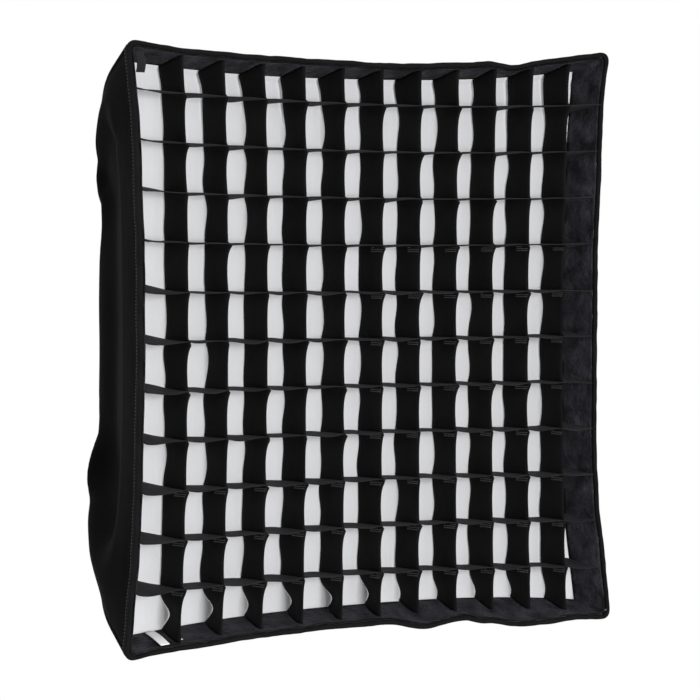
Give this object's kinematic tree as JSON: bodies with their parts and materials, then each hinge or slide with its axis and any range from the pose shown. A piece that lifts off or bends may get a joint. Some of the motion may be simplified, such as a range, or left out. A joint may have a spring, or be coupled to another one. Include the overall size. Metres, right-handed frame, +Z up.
{
  "type": "square softbox with fabric grid",
  "caption": "Square fabric softbox with bowed steel rods, white front and inner diffusers, a removable egg-crate grid and a rotating bayonet speed ring with lock screws.",
  "frame": {"origin": "centre of the seat where the bayonet ring meets the light", "axes": "the open front faces -Y, the light is towards +Y, +Z is up"},
  "size_m": [0.6312, 0.3858, 0.6312],
  "materials": {
    "black_cloth": "black coated nylon",
    "black_tape": "woven hook-and-loop tape and webbing",
    "white_cloth": "translucent white diffusion cloth",
    "cast_aluminium": "satin",
    "spring_steel": "satin",
    "black_plastic": "fine texture"
  },
  "bodies": {
    "mount": {"bayonet_ring": "cast_aluminium"},
    "lock_stud_left": {"lock_stud_left": "spring_steel"},
    "lock_knob_left": {"lock_knob_left": "black_plastic"},
    "lock_stud_right": {"lock_stud_right": "spring_steel"},
    "lock_knob_right": {"lock_knob_right": "black_plastic"},
    "baffle": {"baffle_cloth": "white_cloth", "baffle_strap_bottom_left": "black_tape", "baffle_strap_bottom_right": "black_tape", "baffle_strap_top_left": "black_tape", "baffle_strap_top_right": "black_tape"},
    "diffuser": {"diffuser_border": "black_tape", "diffuser_cloth": "white_cloth"},
    "grid": {"grid_band": "black_tape", "grid_strip_h01": "black_cloth", "grid_strip_h02": "black_cloth", "grid_strip_h03": "black_cloth", "grid_strip_h04": "black_cloth", "grid_strip_h05": "black_cloth", "grid_strip_h06": "black_cloth", "grid_strip_h07": "black_cloth", "grid_strip_h08": "black_cloth", "grid_strip_h09": "black_cloth", "grid_strip_h10": "black_cloth", "grid_strip_h11": "black_cloth", "grid_strip_v01": "black_cloth", "grid_strip_v02": "black_cloth", "grid_strip_v03": "black_cloth", "grid_strip_v04": "black_cloth", "grid_strip_v05": "black_cloth", "grid_strip_v06": "black_cloth", "grid_strip_v07": "black_cloth", "grid_strip_v08": "black_cloth", "grid_strip_v09": "black_cloth", "grid_strip_v10": "black_cloth", "grid_strip_v11": "black_cloth"},
    "box": {"corner_pocket_bottom_left": "black_tape", "corner_pocket_bottom_right": "black_tape", "corner_pocket_top_left": "black_tape", "corner_pocket_top_right": "black_tape", "front_rim": "black_cloth", "lip_hook_tape": "black_tape", "panel_bottom": "black_cloth", "panel_left": "black_cloth", "panel_right": "black_cloth", "panel_top": "black_cloth", "rear_cuff": "black_cloth", "retaining_ring": "spring_steel", "rod_bottom_left": "spring_steel", "rod_bottom_right": "spring_steel", "rod_socket_bottom_left": "cast_aluminium", "rod_socket_bottom_right": "cast_aluminium", "rod_socket_top_left": "cast_aluminium", "rod_socket_top_right": "cast_aluminium", "rod_tip_bottom_left": "black_plastic", "rod_tip_bottom_right": "black_plastic", "rod_tip_top_left": "black_plastic", "rod_tip_top_right": "black_plastic", "rod_top_left": "spring_steel", "rod_top_right": "spring_steel", "speed_ring": "cast_aluminium"}
  },
  "joints": [
    {"name": "box_turn", "type": "hinge", "parent": "mount", "child": "box", "pos_m": [0, 0, 0], "axis": [0, -1, 0], "continuous": true},
    {"name": "lock_knob_left_turn", "type": "hinge", "parent": "lock_stud_left", "child": "lock_knob_left", "pos_m": [-0.0858, -0.0086, 0], "axis": [-1, 0, 0], "range_deg": [0, 1350]},
    {"name": "lock_stud_left_travel", "type": "slide", "parent": "box", "child": "lock_stud_left", "axis": [-1, 0, 0], "range_m": [0, 0.003]},
    {"name": "lock_knob_right_turn", "type": "hinge", "parent": "lock_stud_right", "child": "lock_knob_right", "pos_m": [0.0858, -0.0086, 0], "axis": [1, 0, 0], "range_deg": [0, 1350]},
    {"name": "lock_stud_right_travel", "type": "slide", "parent": "box", "child": "lock_stud_right", "axis": [1, 0, 0], "range_m": [0, 0.003]},
    {"name": "baffle_lift_off", "type": "slide", "parent": "box", "child": "baffle", "axis": [0, -1, 0], "range_m": [0, 0.24]},
    {"name": "diffuser_lift_off", "type": "slide", "parent": "baffle", "child": "diffuser", "axis": [0, -1, 0], "range_m": [0, 0.15]},
    {"name": "grid_lift_off", "type": "slide", "parent": "diffuser", "child": "grid", "axis": [0, -1, 0], "range_m": [0, 0.15]}
  ],
  "couplings": [
    {"joint": "lock_knob_left_turn", "follows": "lock_stud_left_travel", "rad_per_m": 7854},
    {"joint": "lock_knob_right_turn", "follows": "lock_stud_right_travel", "rad_per_m": 7854}
  ]
}
